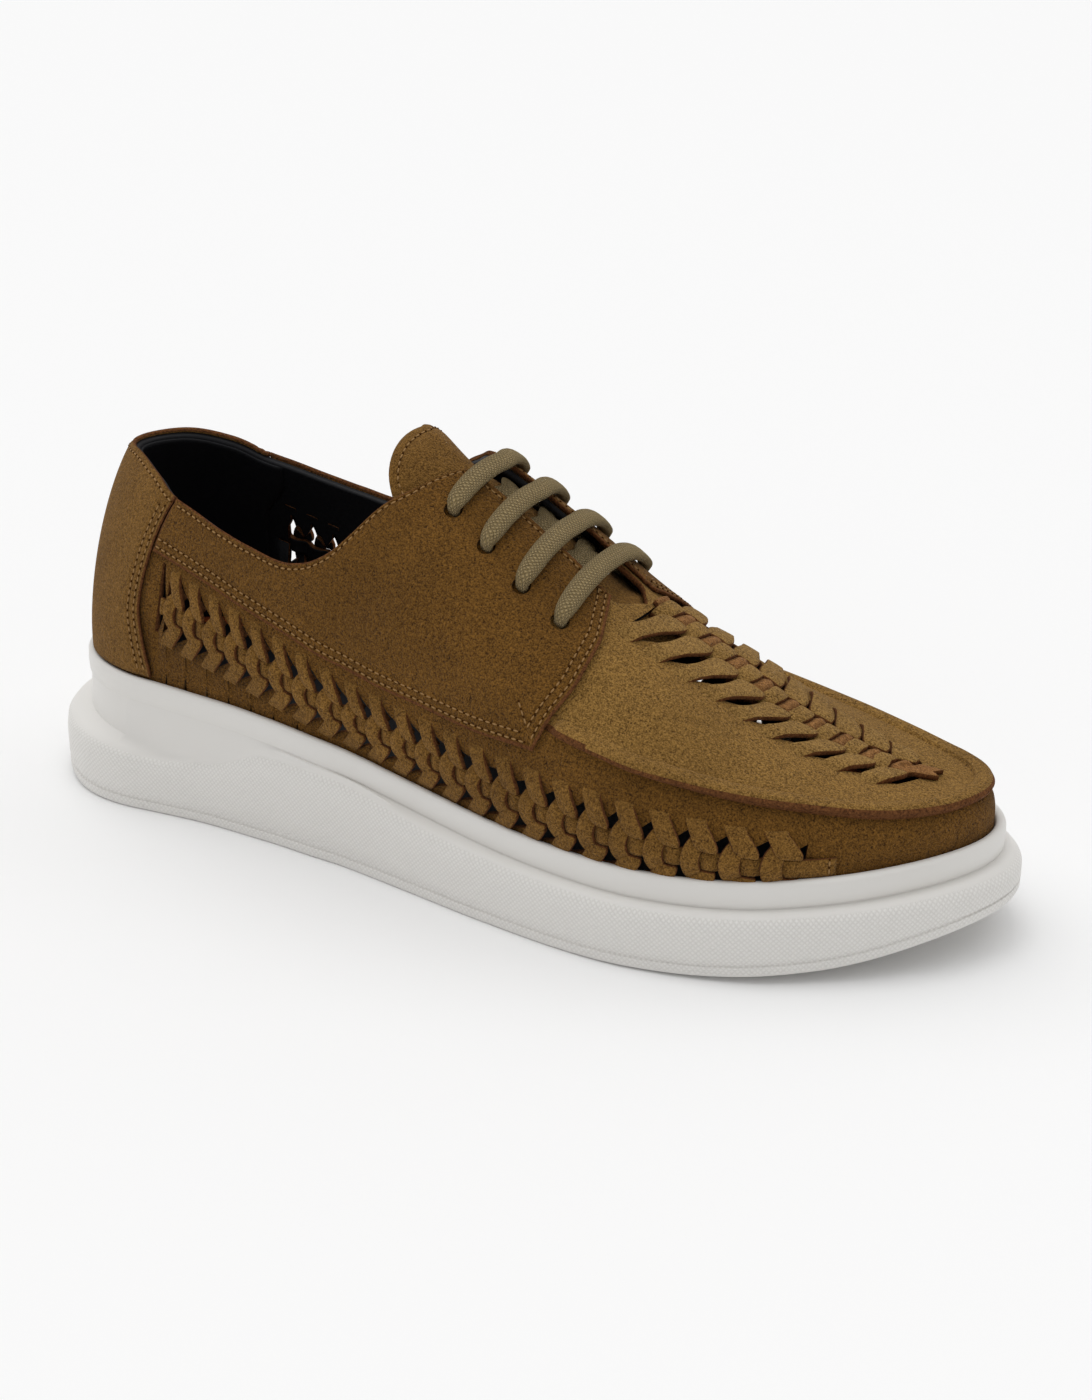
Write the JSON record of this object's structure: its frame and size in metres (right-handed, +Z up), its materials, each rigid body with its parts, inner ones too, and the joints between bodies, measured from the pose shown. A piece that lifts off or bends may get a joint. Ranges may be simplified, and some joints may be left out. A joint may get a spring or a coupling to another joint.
{
  "type": "shoe",
  "caption": "Right-foot woven suede lace-up shoe: hollow upper with plaited side and apron bands, low collar, flat laces and a thick white cup sole.",
  "frame": {"origin": "under the middle of the sole's outline, on the plane the shoe stands on", "axes": "+X to the toe, +Y to the inner side of the foot, +Z up"},
  "size_m": [0.3012, 0.1134, 0.1192],
  "materials": {
    "suede": "napped, matt",
    "rubber": "matt moulded",
    "footbed": "smooth",
    "braid": "woven, matt"
  },
  "bodies": {
    "root": {"sole": "rubber", "insole": "footbed", "upper": "suede", "quarter_lateral": "suede", "quarter_medial": "suede", "heel_counter": "suede", "tongue": "suede", "laces": "braid"}
  },
  "joints": []
}
